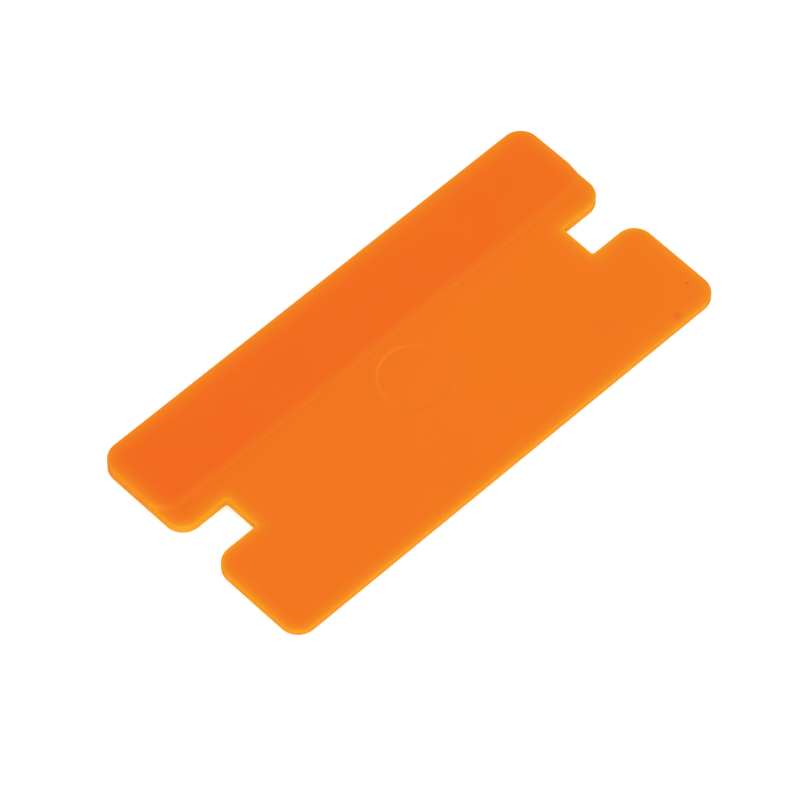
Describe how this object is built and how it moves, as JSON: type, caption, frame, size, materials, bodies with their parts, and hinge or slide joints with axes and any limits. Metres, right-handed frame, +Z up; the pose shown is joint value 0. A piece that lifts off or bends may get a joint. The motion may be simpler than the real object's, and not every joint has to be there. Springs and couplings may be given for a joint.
{
  "type": "algae scraper blade",
  "caption": "Flat notched plastic blade of an algae scraper: a thin plate that tapers from a thick spine along its back to the scraping edge, with rounded corners.",
  "frame": {"origin": "middle of the underside: centre of the length and of the width, on the plane the blade lies on", "axes": "+X along the length, +Y across the width from the scraping edge to the spine's back, +Z up through the thickness, out of the face that carries the spine and the ejector mark"},
  "size_m": [0.042, 0.0204, 0.0012],
  "materials": {
    "orange_plastic": "satin, slightly translucent, lighter along every edge"
  },
  "bodies": {
    "root": {"scraper_blade": "orange_plastic"}
  },
  "joints": []
}
